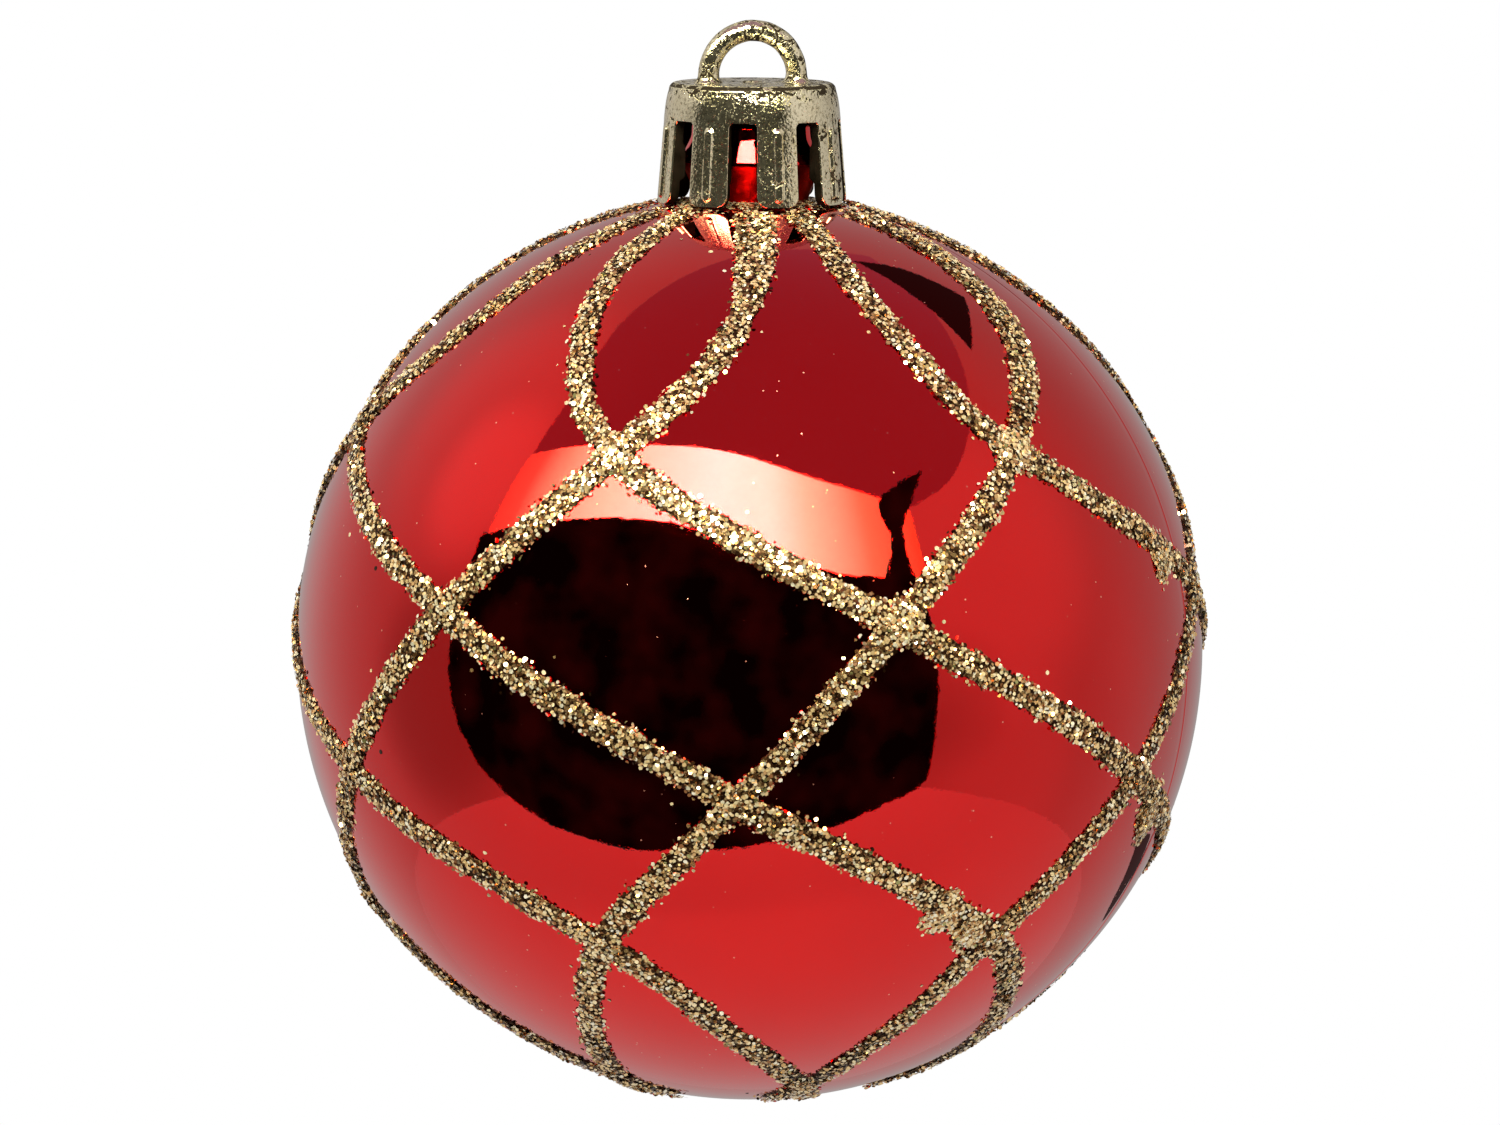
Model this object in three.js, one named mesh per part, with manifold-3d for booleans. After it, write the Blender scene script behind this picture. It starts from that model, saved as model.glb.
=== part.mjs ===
// A shatterproof ball ornament: a hollow blow-moulded ball with a barbed neck, a moulded crown cap with
// a hanging loop and eight spring fingers, and twelve raised glitter lines that cross over the ball.
// Millimetres, +Z up. The origin is the highest point of the loop's hole, where a hook or thread holds
// the ornament. The loop stands in the XZ plane, and its hole runs along Y.
import * as THREE from 'three';
import { mergeVertices } from 'three/addons/utils/BufferGeometryUtils.js';
import Module from 'manifold-3d';

const wasm = await Module();
wasm.setup();

// Ball and neck
const BALL_RADIUS = 30;
const BALL_WALL = 0.9;
const HANG_POINT_ABOVE_CENTRE = 40.15;
const BALL_CENTRE_Z = -HANG_POINT_ABOVE_CENTRE;
const NECK_BASE_RADIUS = 3.7;
const NECK_WAIST_RADIUS = 4.4;
const NECK_BARB_RADIUS = 4.83;
const NECK_SHOULDER_RADIUS = 4.2;
const NECK_TOP_RADIUS = 4.1;
const NECK_WALL = 0.8;
const NECK_WAIST_Z = BALL_CENTRE_Z + 31.6;
const NECK_BARB_Z = BALL_CENTRE_Z + 32.3;
const NECK_BARB_LAND = 0.2;
const NECK_SHOULDER_Z = BALL_CENTRE_Z + 33.7;
const NECK_TOP_Z = BALL_CENTRE_Z + 34.9;
const NECK_LIP_CHAMFER = 0.2;
const BALL_TURN_STEPS = 40;
const BALL_OUTER_RISE_STEPS = 20;
const BALL_INNER_RISE_STEPS = 12;

// Crown cap
const CAP_TOP_Z = BALL_CENTRE_Z + 37.45;
const CAP_TOP_RADIUS = 5.66;
const CAP_TIP_RADIUS = 6.27;
const CAP_EDGE_RADIUS = 0.5;
const CAP_EDGE_STEPS = 4;
const CAP_WALL = 0.75;
const CAP_DISC_THICKNESS = 0.9;
const CAP_TURN_STEPS = 48;
const GATE_MARK_RADIUS = 0.7;
const GATE_MARK_HEIGHT = 0.12;

// Loop, moulded in one piece with the cap
const LOOP_CENTRELINE_RADIUS = 2.95;
const LOOP_BAR_RADIUS = 0.69;
const LOOP_CENTRE_Z = -(LOOP_CENTRELINE_RADIUS - LOOP_BAR_RADIUS);
const LOOP_ROOT_DEPTH = 0.35;
const LOOP_ARC_POINTS = 12;
const LOOP_STEPS = 28;
const LOOP_BAR_SIDES = 12;

// Spring fingers, split from the crown at their living hinges
const FINGER_COUNT = 8;
const FIRST_FINGER_TURN = 4.5;
const FINGER_ROOT_Z = BALL_CENTRE_Z + 35.05;
const FINGER_TIP_Z = BALL_CENTRE_Z + 29.6;
const HINGE_GAP = 0.12;
const FINGER_ROOT_WIDTH = 2.72;
const FINGER_TIP_WIDTH = 2.9;
const FINGER_CORNER_RADIUS = 0.7;
const RIB_WIDTH = 0.65;
const RIB_TOP_Z = BALL_CENTRE_Z + 34.7;
const RIB_HEIGHT = 0.18;
const GRIP_RADIUS = 5.0;
const GRIP_TOP_Z = BALL_CENTRE_Z + 33.3;
const GRIP_BOTTOM_Z = BALL_CENTRE_Z + 31.4;
const GRIP_SLOPE = 0.35;
const CUTTER_NEAR = 3.5;
const CUTTER_FAR = 8;

// Glitter lines: six run down to one side and six run down to the other
const LINES_EACH_WAY = 6;
const FIRST_LINE_TURN = -31.5;
const LINE_WIDTH = 2.1;
const LINE_CREST_WIDTH = 1.35;
const LINE_HEIGHT = 0.4;
const LINE_BASE_RADIUS = BALL_RADIUS + 0.08;
const A_STEPS_PER_SPAN = 5;
const B_STEPS_PER_SPAN = 8;
const CROSSING_GAP_SIDE = 0.1;
const CROSSING_GAP_ABOVE = 0.06;
const BRIDGE_THICKNESS = 0.24;
const BRIDGE_FLAT_REACH = 2.2;
const BRIDGE_RAMP_END = 3.6;

// Each line is [latitude, longitude] in degrees, with its first crossing at longitude 0. The same five
// latitudes are crossings on both kinds of line, and the two longitudes there differ by whole sixths
// of a turn.
const LINE_A_KNOTS = [
  [76.6, -16], [62, -17], [46, -11.5], [30.6, 0], [9.5, 38],
  [-12.2, 78], [-33, 118], [-50, 137], [-67, 157], [-74, 167],
];
const LINE_B_KNOTS = [
  [76.6, 21], [62, 20.5], [46, 14.5], [30.6, 0], [9.5, -22],
  [-12.2, -42], [-33, -62], [-50, -72], [-67, -83], [-74, -91],
];
const CROSSING_KNOTS = [3, 4, 5, 6, 8];

// Edges shorter than this are closed up after a cut or a join.
const LEAST_EDGE = 0.004;

const finish = (color, roughness) => new THREE.MeshStandardMaterial({ color, roughness, metalness: 1 });
const redPlastic = () => finish(0xb8140c, 0.06);
const goldPlastic = () => finish(0xb9ab78, 0.3);
const glitter = () => finish(0xa5823c, 0.35);

const ornament = new THREE.Group();

function addPiece(name, geometry, material) {
  const mesh = new THREE.Mesh(geometry, material);
  mesh.name = name;
  ornament.add(mesh);
}

// A closed three.js geometry as a solid that can be joined and cut. Faces that shrink to a line on a
// lathe's axis are dropped.
function toSolid(geometry) {
  const bare = geometry.clone();
  bare.deleteAttribute('normal');
  bare.deleteAttribute('uv');
  const merged = mergeVertices(bare, 1e-4);
  const corners = merged.index.array;
  const kept = [];
  for (let i = 0; i < corners.length; i += 3) {
    const [a, b, c] = corners.subarray(i, i + 3);
    if (a !== b && b !== c && c !== a) kept.push(a, b, c);
  }
  const mesh = new wasm.Mesh({
    numProp: 3,
    vertProperties: new Float32Array(merged.attributes.position.array),
    triVerts: new Uint32Array(kept),
  });
  mesh.merge();
  return new wasm.Manifold(mesh);
}

function toGeometry(solid) {
  const mesh = solid.simplify(LEAST_EDGE).getMesh();
  const geometry = new THREE.BufferGeometry();
  geometry.setAttribute('position', new THREE.BufferAttribute(mesh.vertProperties, 3));
  geometry.setIndex(new THREE.BufferAttribute(mesh.triVerts, 1));
  geometry.computeVertexNormals();
  return geometry;
}

// Turns a profile of (radius, height) points about the Z axis. The outside of the profile runs upward.
function turned(profile, steps) {
  const geometry = new THREE.LatheGeometry(profile, steps);
  geometry.rotateX(Math.PI / 2);
  return geometry;
}

// Points of an arc about (centreRadius, centreHeight), from one angle to another, both above horizontal.
function arc(centreRadius, centreHeight, radius, fromDegrees, toDegrees, steps) {
  const points = [];
  for (let i = 0; i <= steps; i += 1) {
    const angle = THREE.MathUtils.degToRad(THREE.MathUtils.lerp(fromDegrees, toDegrees, i / steps));
    const x = centreRadius + radius * Math.cos(angle);
    const y = centreHeight + radius * Math.sin(angle);
    points.push(new THREE.Vector2(Math.max(x, 0), y));
  }
  return points;
}

// The angle above the equator at which a sphere is a given distance from its vertical axis.
function riseAt(radiusFromAxis, sphereRadius) {
  return THREE.MathUtils.radToDeg(Math.acos(radiusFromAxis / sphereRadius));
}

function ballShell() {
  const innerRadius = BALL_RADIUS - BALL_WALL;
  const boreRadius = NECK_TOP_RADIUS - NECK_WALL;
  const boreRise = riseAt(boreRadius, innerRadius);
  const outer = arc(0, BALL_CENTRE_Z, BALL_RADIUS, -90, riseAt(NECK_BASE_RADIUS, BALL_RADIUS),
    BALL_OUTER_RISE_STEPS);
  const neck = [
    new THREE.Vector2(NECK_WAIST_RADIUS, NECK_WAIST_Z),
    new THREE.Vector2(NECK_BARB_RADIUS, NECK_BARB_Z - NECK_BARB_LAND / 2),
    new THREE.Vector2(NECK_BARB_RADIUS, NECK_BARB_Z + NECK_BARB_LAND / 2),
    new THREE.Vector2(NECK_SHOULDER_RADIUS, NECK_SHOULDER_Z),
    new THREE.Vector2(NECK_TOP_RADIUS, NECK_TOP_Z - NECK_LIP_CHAMFER),
    new THREE.Vector2(NECK_TOP_RADIUS - NECK_LIP_CHAMFER, NECK_TOP_Z),
    new THREE.Vector2(boreRadius, NECK_TOP_Z),
  ];
  const inner = arc(0, BALL_CENTRE_Z, innerRadius, boreRise, -90, BALL_INNER_RISE_STEPS);
  return turned([...outer, ...neck, ...inner], BALL_TURN_STEPS);
}

// The cap's outside is a slight cone that widens towards the finger tips.
function capRadiusAt(height) {
  const coneTop = CAP_TOP_Z - CAP_EDGE_RADIUS;
  const share = (coneTop - height) / (coneTop - FINGER_TIP_Z);
  return THREE.MathUtils.lerp(CAP_TOP_RADIUS, CAP_TIP_RADIUS, share);
}

function crownDisc() {
  const undersideZ = CAP_TOP_Z - CAP_DISC_THICKNESS;
  const rimRadius = capRadiusAt(FINGER_ROOT_Z);
  const profile = [
    new THREE.Vector2(0, undersideZ),
    new THREE.Vector2(capRadiusAt(undersideZ) - CAP_WALL, undersideZ),
    new THREE.Vector2(rimRadius - CAP_WALL, FINGER_ROOT_Z),
    new THREE.Vector2(rimRadius, FINGER_ROOT_Z),
    ...arc(CAP_TOP_RADIUS - CAP_EDGE_RADIUS, CAP_TOP_Z - CAP_EDGE_RADIUS, CAP_EDGE_RADIUS, 0, 90,
      CAP_EDGE_STEPS),
    new THREE.Vector2(GATE_MARK_RADIUS, CAP_TOP_Z),
    new THREE.Vector2(GATE_MARK_RADIUS * 0.8, CAP_TOP_Z + GATE_MARK_HEIGHT),
    new THREE.Vector2(0, CAP_TOP_Z + GATE_MARK_HEIGHT),
  ];
  return toSolid(turned(profile, CAP_TURN_STEPS));
}

// A half ring on two short legs that go a little way into the disc.
function loopBar() {
  const root = CAP_TOP_Z - LOOP_ROOT_DEPTH;
  const path = [new THREE.Vector3(-LOOP_CENTRELINE_RADIUS, 0, root)];
  for (let i = 0; i <= LOOP_ARC_POINTS; i += 1) {
    const angle = Math.PI * (1 - i / LOOP_ARC_POINTS);
    const x = LOOP_CENTRELINE_RADIUS * Math.cos(angle);
    path.push(new THREE.Vector3(x, 0, LOOP_CENTRE_Z + LOOP_CENTRELINE_RADIUS * Math.sin(angle)));
  }
  path.push(new THREE.Vector3(LOOP_CENTRELINE_RADIUS, 0, root));
  const section = new THREE.Shape(new THREE.EllipseCurve(0, 0, LOOP_BAR_RADIUS, LOOP_BAR_RADIUS)
    .getPoints(LOOP_BAR_SIDES).slice(0, LOOP_BAR_SIDES));
  return toSolid(new THREE.ExtrudeGeometry(section, {
    extrudePath: new THREE.CatmullRomCurve3(path),
    steps: LOOP_STEPS,
  }));
}

// The wall that the fingers are cut from, with the raised band inside that grips the neck's barb.
function fingerWall() {
  const top = FINGER_ROOT_Z - HINGE_GAP;
  const inside = (height) => new THREE.Vector2(capRadiusAt(height) - CAP_WALL, height);
  return toSolid(turned([
    inside(top),
    inside(GRIP_TOP_Z + GRIP_SLOPE),
    new THREE.Vector2(GRIP_RADIUS, GRIP_TOP_Z),
    new THREE.Vector2(GRIP_RADIUS, GRIP_BOTTOM_Z),
    inside(GRIP_BOTTOM_Z - GRIP_SLOPE),
    inside(FINGER_TIP_Z),
    new THREE.Vector2(CAP_TIP_RADIUS, FINGER_TIP_Z),
    new THREE.Vector2(capRadiusAt(top), top),
    inside(top),
  ], CAP_TURN_STEPS));
}

// The wall's outer skin, moved out by the height of a rib.
function ribWall() {
  const top = FINGER_ROOT_Z - HINGE_GAP;
  return toSolid(turned([
    new THREE.Vector2(capRadiusAt(top) - CAP_WALL / 2, top),
    new THREE.Vector2(CAP_TIP_RADIUS - CAP_WALL / 2, FINGER_TIP_Z),
    new THREE.Vector2(CAP_TIP_RADIUS + RIB_HEIGHT, FINGER_TIP_Z),
    new THREE.Vector2(capRadiusAt(top) + RIB_HEIGHT, top),
    new THREE.Vector2(capRadiusAt(top) - CAP_WALL / 2, top),
  ], CAP_TURN_STEPS));
}

// Extrudes an outline of (sideways, height) outwards from the axis, facing -Y.
function radialCutter(outline) {
  const geometry = new THREE.ExtrudeGeometry(outline, {
    depth: CUTTER_FAR - CUTTER_NEAR,
    bevelEnabled: false,
    curveSegments: 5,
  });
  geometry.rotateX(Math.PI / 2);
  geometry.translate(0, -CUTTER_NEAR, 0);
  return toSolid(geometry);
}

function fingerOutline() {
  const top = FINGER_ROOT_Z;
  const bottom = FINGER_TIP_Z;
  const rootHalf = FINGER_ROOT_WIDTH / 2;
  const tipHalf = FINGER_TIP_WIDTH / 2;
  const corner = FINGER_CORNER_RADIUS;
  const outline = new THREE.Shape();
  outline.moveTo(rootHalf, top);
  outline.lineTo(-rootHalf, top);
  outline.lineTo(-tipHalf, bottom + corner);
  outline.absarc(-tipHalf + corner, bottom + corner, corner, Math.PI, 1.5 * Math.PI, false);
  outline.absarc(tipHalf - corner, bottom + corner, corner, 1.5 * Math.PI, 2 * Math.PI, false);
  return outline;
}

function ribOutline() {
  const half = RIB_WIDTH / 2;
  const outline = new THREE.Shape();
  outline.moveTo(-half, FINGER_TIP_Z + RIB_WIDTH);
  outline.absarc(0, FINGER_TIP_Z + RIB_WIDTH, half, Math.PI, 2 * Math.PI, false);
  outline.absarc(0, RIB_TOP_Z - half, half, 0, Math.PI, false);
  return outline;
}

function fingers() {
  const finger = fingerWall().intersect(radialCutter(fingerOutline()))
    .add(ribWall().intersect(radialCutter(ribOutline())));
  for (let i = 0; i < FINGER_COUNT; i += 1) {
    const turn = FIRST_FINGER_TURN + (360 / FINGER_COUNT) * i;
    addPiece(`cap_finger_${i + 1}`, toGeometry(finger.rotate([0, 0, turn])), goldPlastic());
  }
}

// Longitude 0 faces -Y, and longitudes grow towards +X.
function directionAt(latitude, longitude) {
  const rise = THREE.MathUtils.degToRad(latitude);
  const turn = THREE.MathUtils.degToRad(longitude);
  return new THREE.Vector3(
    Math.cos(rise) * Math.sin(turn), -Math.cos(rise) * Math.cos(turn), Math.sin(rise));
}

// How high a line rises where it bridges another: 1 at the crossing and 0 well away from it.
function bridgeShare(direction, crossings) {
  const nearest = Math.min(...crossings.map((crossing) => direction.angleTo(crossing)));
  const away = nearest * BALL_RADIUS;
  return 1 - THREE.MathUtils.smoothstep(away, BRIDGE_FLAT_REACH, BRIDGE_RAMP_END);
}

// A bead of glue and glitter that follows its knots over the ball. Its box is bent so that the box's x
// runs along the line, y stands on the ball and z runs across the line.
function lineBead(knots, turn, stepsPerSpan, size) {
  const path = new THREE.SplineCurve(knots.map(([lat, lon]) => new THREE.Vector2(lat, lon + turn)));
  const crossings = CROSSING_KNOTS.map((k) => directionAt(knots[k][0], knots[k][1] + turn));
  const steps = stepsPerSpan * (knots.length - 1);
  const box = new THREE.BoxGeometry(1, 1, 1, steps, 1, 1);
  const spots = box.attributes.position;
  const pointAt = (share) => {
    const spot = path.getPoint(share);
    return directionAt(spot.x, spot.y);
  };
  for (let i = 0; i < spots.count; i += 1) {
    const share = THREE.MathUtils.clamp(spots.getX(i) + 0.5, 0, 1);
    const isTop = spots.getY(i) > 0;
    const out = pointAt(share);
    const along = pointAt(Math.min(share + 0.002, 1)).sub(pointAt(Math.max(share - 0.002, 0)));
    const side = along.cross(out).normalize();
    const width = isTop ? size.crestWidth : size.width;
    const rise = size.height + size.bridge * bridgeShare(out, crossings);
    const spot = out.multiplyScalar(size.baseRadius).addScaledVector(side, spots.getZ(i) * width);
    spot.setLength(size.baseRadius + (isTop ? rise : 0));
    spots.setXYZ(i, spot.x, spot.y, spot.z + BALL_CENTRE_Z);
  }
  return box;
}

function glitterLines() {
  const plain = {
    width: LINE_WIDTH,
    crestWidth: LINE_CREST_WIDTH,
    height: LINE_HEIGHT,
    baseRadius: LINE_BASE_RADIUS,
    bridge: 0,
  };
  const tunnel = {
    width: LINE_WIDTH + 2 * CROSSING_GAP_SIDE,
    crestWidth: LINE_CREST_WIDTH + 2 * CROSSING_GAP_SIDE,
    height: LINE_HEIGHT + CROSSING_GAP_ABOVE + CROSSING_GAP_SIDE,
    baseRadius: LINE_BASE_RADIUS - CROSSING_GAP_SIDE,
    bridge: 0,
  };
  const bridging = { ...plain, bridge: CROSSING_GAP_ABOVE + BRIDGE_THICKNESS };
  const step = 360 / LINES_EACH_WAY;
  const turns = Array.from({ length: LINES_EACH_WAY }, (_, i) => FIRST_LINE_TURN + step * i);
  const tunnels = turns.map((turn) => toSolid(lineBead(LINE_A_KNOTS, turn, A_STEPS_PER_SPAN, tunnel)));
  turns.forEach((turn, i) => {
    const under = lineBead(LINE_A_KNOTS, turn, A_STEPS_PER_SPAN, plain);
    addPiece(`glitter_line_a${i + 1}`, under, glitter());
    let over = toSolid(lineBead(LINE_B_KNOTS, turn, B_STEPS_PER_SPAN, bridging));
    for (const cut of tunnels) over = over.subtract(cut);
    addPiece(`glitter_line_b${i + 1}`, toGeometry(over), glitter());
  });
}

addPiece('ball_shell', ballShell(), redPlastic());
addPiece('cap_crown', toGeometry(crownDisc().add(loopBar())), goldPlastic());
fingers();
glitterLines();

export default ornament;
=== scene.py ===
"""Looks for the ball ornament: mirror-red ball, champagne-gold crown cap and gold glitter lines.
Everything is in the part's own frame: the origin is the highest point of the loop's hole and +Z is up.
Lengths are in millimetres and MM turns them into metres, except in materials and in the room round the
ornament, which are in metres. Longitude 0 faces -Y and grows towards +X."""

import math

import bmesh
import bpy
import numpy as np
from mathutils import Matrix, Vector, noise


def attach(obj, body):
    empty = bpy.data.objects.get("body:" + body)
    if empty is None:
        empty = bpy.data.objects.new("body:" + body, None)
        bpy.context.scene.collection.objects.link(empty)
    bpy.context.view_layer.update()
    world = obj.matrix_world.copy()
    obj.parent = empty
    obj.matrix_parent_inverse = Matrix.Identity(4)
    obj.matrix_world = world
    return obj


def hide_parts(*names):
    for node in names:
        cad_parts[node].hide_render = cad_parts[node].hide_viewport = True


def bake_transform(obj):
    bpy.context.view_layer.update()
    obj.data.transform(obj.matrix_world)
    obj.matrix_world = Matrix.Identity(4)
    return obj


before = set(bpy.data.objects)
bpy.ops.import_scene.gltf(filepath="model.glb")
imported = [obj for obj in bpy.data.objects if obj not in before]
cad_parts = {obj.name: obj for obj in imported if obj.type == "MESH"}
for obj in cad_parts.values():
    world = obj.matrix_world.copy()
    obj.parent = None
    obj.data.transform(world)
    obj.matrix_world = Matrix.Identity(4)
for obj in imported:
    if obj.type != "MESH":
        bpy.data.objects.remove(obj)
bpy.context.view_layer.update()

MM = 0.001
SEED = 20261

# Ball and neck, as in the CAD source
BALL_RADIUS = 30.0
BALL_WALL = 0.9
CENTRE_Z = -40.15
NECK_PROFILE = ((3.7, 29.77), (3.86, 30.2), (4.13, 30.95), (4.4, 31.6), (4.62, 31.9), (4.8, 32.14),
                (4.83, 32.2), (4.83, 32.4), (4.8, 32.47), (4.64, 32.84), (4.48, 33.21), (4.32, 33.56),
                (4.2, 33.83), (4.15, 34.0), (4.12, 34.25), (4.1, 34.7), (4.02, 34.84), (3.9, 34.9),
                (3.5, 34.9), (3.36, 34.86), (3.3, 34.76))
NECK_BORE_RADIUS = 3.3
BALL_RISE_STEPS = 150
BALL_INSIDE_STEPS = 44
BALL_TURN_STEP = 1.5
# The mould's parting line: a fine ridge with a shallow dip beside it. Heights are in millimetres, and
# widths and offsets in degrees of longitude.
PARTING_LONGITUDE = 60.5
PARTING_HEIGHT = 0.035
PARTING_WIDTH = 0.11
DIP_DEPTH = 0.012
DIP_OFFSET = 0.5
DIP_WIDTH = 0.3
PARTING_OFFSETS = (-1.2, -0.6, -0.3, -0.16, -0.07, 0.0, 0.07, 0.16, 0.3, 0.6, 1.2)

# Cap
CAP_TOP_Z = CENTRE_Z + 37.45
CAP_TOP_RADIUS = 5.66
CAP_TIP_RADIUS = 6.27
CAP_EDGE_RADIUS = 0.5
CAP_WALL = 0.75
# How far the crown draws in towards its top edge
SHOULDER = 0.15
DISC_THICKNESS = 0.9
DISC_WAVE = 0.02
CAP_TURN_STEP = 0.75
FINGER_COUNT = 8
FIRST_FINGER_TURN = 4.5
FINGER_ROOT_Z = CENTRE_Z + 35.05
FINGER_TIP_Z = CENTRE_Z + 29.6
FINGER_HALF_WIDTH = 1.36
FINGER_TIP_HALF_WIDTH = 1.45
FINGER_CORNER = 0.7
SLOT_FILLET = 0.32
FINGER_LEAST_HALF_WIDTH = 0.62
FINGER_FACE_POINTS = 40
FINGER_BACK_POINTS = 14
EDGE_BEVEL = 0.1
BEVEL_ANGLES = (22.5, 45, 67.5)
RIB_HALF_WIDTH = 0.325
RIB_TOP_Z = CENTRE_Z + 34.7
RIB_BOTTOM_Z = FINGER_TIP_Z + 0.65
RIB_HEIGHT = 0.18
GRIP_RADIUS = 5.0
GRIP_TOP_Z = CENTRE_Z + 33.3
GRIP_BOTTOM_Z = CENTRE_Z + 31.4
GRIP_SLOPE = 0.35
LOOP_RADIUS = 2.95
LOOP_BAR = 0.69
LOOP_CENTRE_Z = -2.26
LOOP_ROOT_DEPTH = 0.15
LOOP_ROOT_FLARE = 0.3
LOOP_ROOT_FLARE_HEIGHT = 0.16
LOOP_SIDES = 40
LOOP_ARC_STEPS = 96
LOOP_LEG_STEPS = 12

# Glitter lines: knots of [latitude, longitude], as in the CAD source
LINES_EACH_WAY = 6
FIRST_LINE_TURN = -31.5
LINE_HEIGHT = 0.22
LINE_HALF_WIDTH = 0.95
BED_STEPS = 420
BED_CROSS = (-1.0, -0.93, -0.8, -0.6, -0.35, 0.0, 0.35, 0.6, 0.8, 0.93, 1.0)
# Lines laid on wider near the neck: how much wider, and the lengths from the neck where the extra width
# starts to fade and has gone
WIDE_STARTS = {"b1": (0.42, 7, 15), "b2": (0.36, 16, 24)}
KNOTS_A = ((76.6, -16), (62, -17), (46, -11.5), (30.6, 0), (9.5, 38), (-12.2, 78), (-33, 118),
           (-50, 137), (-67, 157), (-74, 167))
KNOTS_B = ((76.6, 21), (62, 20.5), (46, 14.5), (30.6, 0), (9.5, -22), (-12.2, -42), (-33, -62),
           (-50, -72), (-67, -83), (-74, -91))
FLAKE_PITCH = 0.248
FLAKE_JITTER = 0.24 * FLAKE_PITCH
FLAKE_RADIUS = 0.14
FLAKE_SIZES = (0.62, 1.22)
LINE_FLAKE_TILT = 27
STRAY_FLAKE_TILT = 13
# Places where more glitter stuck: latitude, longitude, half width in millimetres, height and flakes
BLOBS = ((-18.8, 53.8, 1.5, 0.42, 900), (13.9, 54.4, 1.3, 0.36, 650), (-28.5, 16.6, 1.5, 0.3, 700),
         (30.6, -31.5, 1.3, 0.55, 420), (30.6, 28.5, 1.45, 0.55, 520), (9.3, 7.0, 1.45, 0.55, 520),
         (-31.6, 21.5, 1.4, 0.5, 450))
STRAY_FLAKES = 330
FOOT_FLAKES = 2600
# The ring of flakes round the foot of the neck: its latitude, how far it spreads and where it ends
FOOT_LATITUDE = 80.6
FOOT_SPREAD = 1.5
FOOT_ENDS = (-3.4, 2.2)

# Camera: its place in millimetres, its pitch and roll in degrees and its lens in millimetres
CAMERA_PLACE = Vector((-123.8, -582.3, 34.5)) * MM
CAMERA_PITCH = -6.616
CAMERA_ROLL = 0.3
CAMERA_LENS = 217.1
CAMERA_SENSOR = 36
BALL_CENTRE = Vector((0, 0, CENTRE_Z)) * MM

# The ball mirrors the whole room, so the room is a few large cards round it. A card's outline is a
# loop of smooth curves that meet in corners. Each curve runs through a few listed directions, in
# degrees to the right of and above the line from the ball to the camera.
BLACK_CARD = (((-76, 22), (-81, -12), (-66, -37), (-18, -51), (28, -43), (51, -30)),
              ((51, -30), (47, 2), (42, 26), (55, 40)),
              ((55, 40), (38, 35), (38, 25), (35, 17)),
              ((35, 17), (19, 19), (-8, 26), (-17, 30), (-50, 29), (-76, 22)))
STRIP_CARD = (((-75, 18), (-74, 40)), ((-74, 40), (-40, 49), (-11, 50), (20, 42), (46, 32)),
              ((46, 32), (46, 17)), ((46, 17), (36, 13), (-20, 22), (-75, 18)))
CEILING_CARD = (((-73, 38), (-80, 55), (-120, 68), (-178, 63), (158, 51)),
                ((158, 51), (94, 49), (63, 37), (38, 30)), ((38, 30), (-11, 47), (-73, 38)))
WEDGE_CARD = (((157, 56), (152, 49), (145, 43)), ((145, 43), (137, 46), (117, 50)),
              ((117, 50), (134, 55), (157, 56)))
SLIVER_CARD = (((144, -16), (156, -16), (163, -13), (157, -11), (144, -16)),)
# The strip light's colour from left to right: shares of the half circle in front, and colours
STRIP_COLOURS = ((0.07, (0.035, 0.025, 0.018)), (0.12, (0.06, 0.055, 0.035)),
                 (0.17, (0.29, 0.28, 0.17)), (0.27, (0.67, 0.66, 0.46)), (0.44, (0.98, 0.98, 0.86)),
                 (0.53, (0.9, 0.9, 0.74)), (0.59, (0.58, 0.58, 0.38)), (0.68, (0.165, 0.16, 0.075)),
                 (0.75, (0.06, 0.05, 0.02)))
CARD_STEP = 3
RAGGED_CARD_STEP = 0.9
CARD_LONGEST_EDGE = 0.12

# Key light: where it is and how it spreads
KEY_DIRECTION = (-5, -25)
KEY_DISTANCE = 1.6
KEY_SIZE = 0.25
KEY_SPREAD = 36
KEY_ENERGY = 31

# Floor: a disc that reaches a little further towards the camera, with a soft glow of painted light that
# grows that way and fills in the black card's shadow on it
FLOOR_BELOW = 2.4
FLOOR_RADIUS = 4.15
FLOOR_SHIFT = 0.7
FLOOR_GLOW_FROM_TO = (-3.4, 4.8, 0.38, 0.7)

# The room's own light, and soft patches of it: azimuth, elevation, half width in degrees and what they
# add to the level
ROOM_LEVEL = 0.475
ROOM_PATCHES = ((-84, 32, 22, 0.2), (-98, 40, 36, 0.16), (64, 20, 42, 0.18), (-88, -11, 27, -0.165),
                (160, 18, 60, -0.11), (54, -12, 20, -0.07), (-150, 0, 45, 0.02), (75, -24, 25, 0.07))

random = np.random.default_rng(SEED)
noise.seed_set(SEED)


# ---------------------------------------------------------------- meshes

def show(name, data):
    """An object of that data, put in the scene."""
    obj = bpy.data.objects.new(name, data)
    bpy.context.scene.collection.objects.link(obj)
    return obj


def mesh_piece(name, points, faces, materials, material_index=None, smooth=True, sharp_angle=None):
    """A mesh object from points in millimetres and a list of faces."""
    mesh = bpy.data.meshes.new(name)
    mesh.from_pydata([tuple(p) for p in np.asarray(points, float) * MM], [], faces)
    for m in materials:
        mesh.materials.append(m)
    if material_index is not None:
        mesh.polygons.foreach_set("material_index", np.asarray(material_index, np.int32))
    if smooth:
        mesh.polygons.foreach_set("use_smooth", np.ones(len(mesh.polygons), bool))
    if sharp_angle:
        mesh.set_sharp_from_angle(angle=math.radians(sharp_angle))
    mesh.update()
    return show(name, mesh)


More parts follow.
